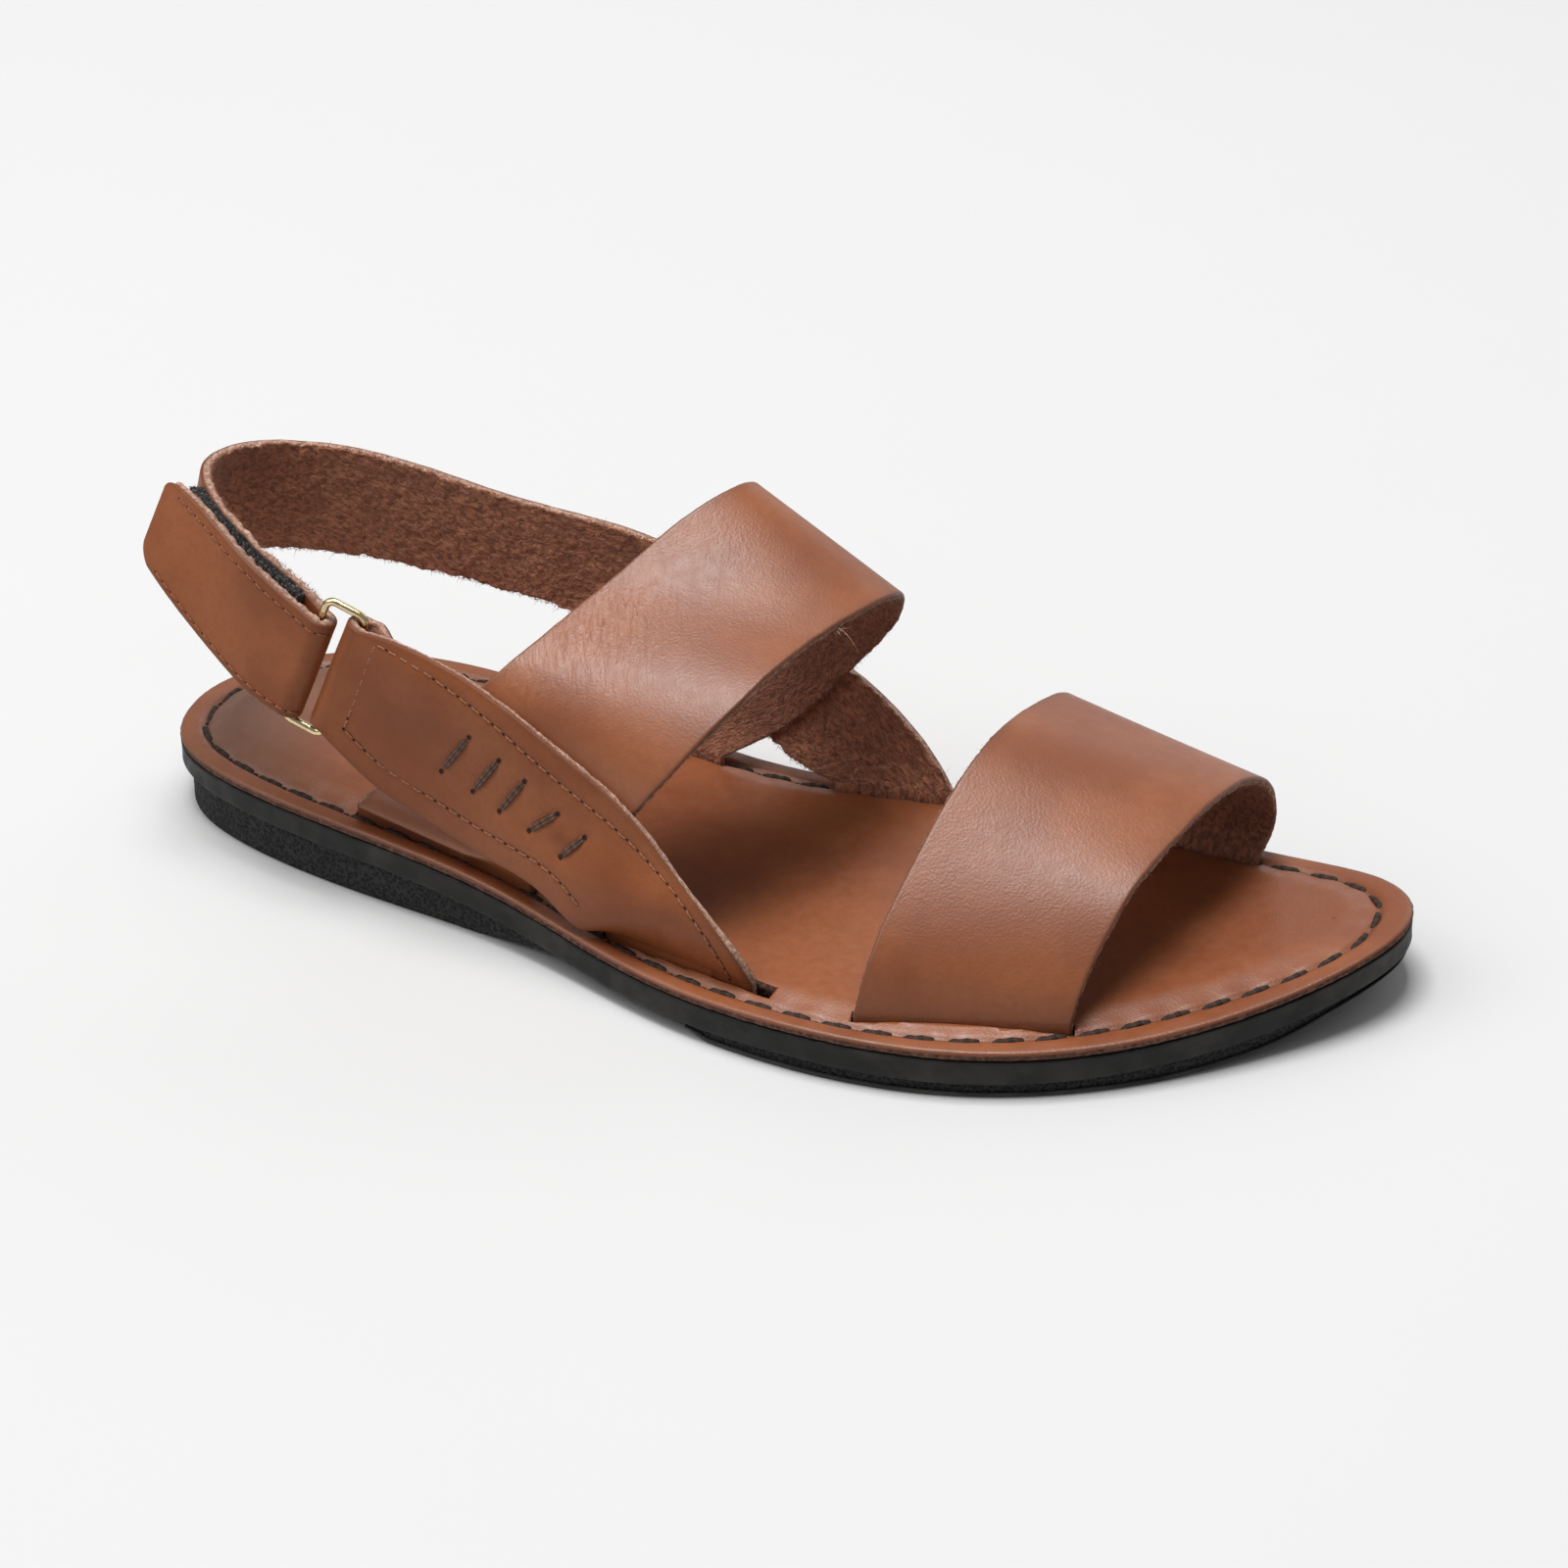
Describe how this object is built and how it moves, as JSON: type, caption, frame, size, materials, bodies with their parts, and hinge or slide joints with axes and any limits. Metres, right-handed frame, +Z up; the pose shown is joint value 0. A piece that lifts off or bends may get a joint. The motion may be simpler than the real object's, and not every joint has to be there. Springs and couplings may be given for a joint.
{
  "type": "leather sandal",
  "caption": "Open leather sandal on a low rubber sole: wide toe strap, forward-leaning instep strap, side wings and a heel strap that turns through a wire ring and closes on itself.",
  "frame": {"origin": "on the floor, under the middle of the sandal's bounding box", "axes": "+X towards the toe, +Y towards the inner side of the foot, +Z up"},
  "size_m": [0.2592, 0.0978, 0.0816],
  "materials": {
    "smooth_rubber": "smooth black rubber with a dull sheen",
    "cellular_rubber": "matt dark grey cellular rubber with an open, pitted side",
    "tread_rubber": "matt black rubber with a fine texture and a smooth lip",
    "insole_leather": "smooth cognac leather over thin padding, with a waxed running stitch near its edge",
    "toe_leather": "smooth cognac leather, fine grain, soft sheen, brown flesh side",
    "strap_leather": "smooth cognac leather, fine grain, soft sheen, napped brown flesh side",
    "brass_wire": "polished pale brass plating",
    "woven_tape": "dark brown hook-and-loop tape"
  },
  "bodies": {
    "root": {"midsole": "smooth_rubber", "heel_wedge": "cellular_rubber", "forefoot_tread": "tread_rubber", "insole": "insole_leather", "toe_strap": "toe_leather", "rear_straps": "strap_leather", "ring": "brass_wire", "hook_tape": "woven_tape"}
  },
  "joints": []
}
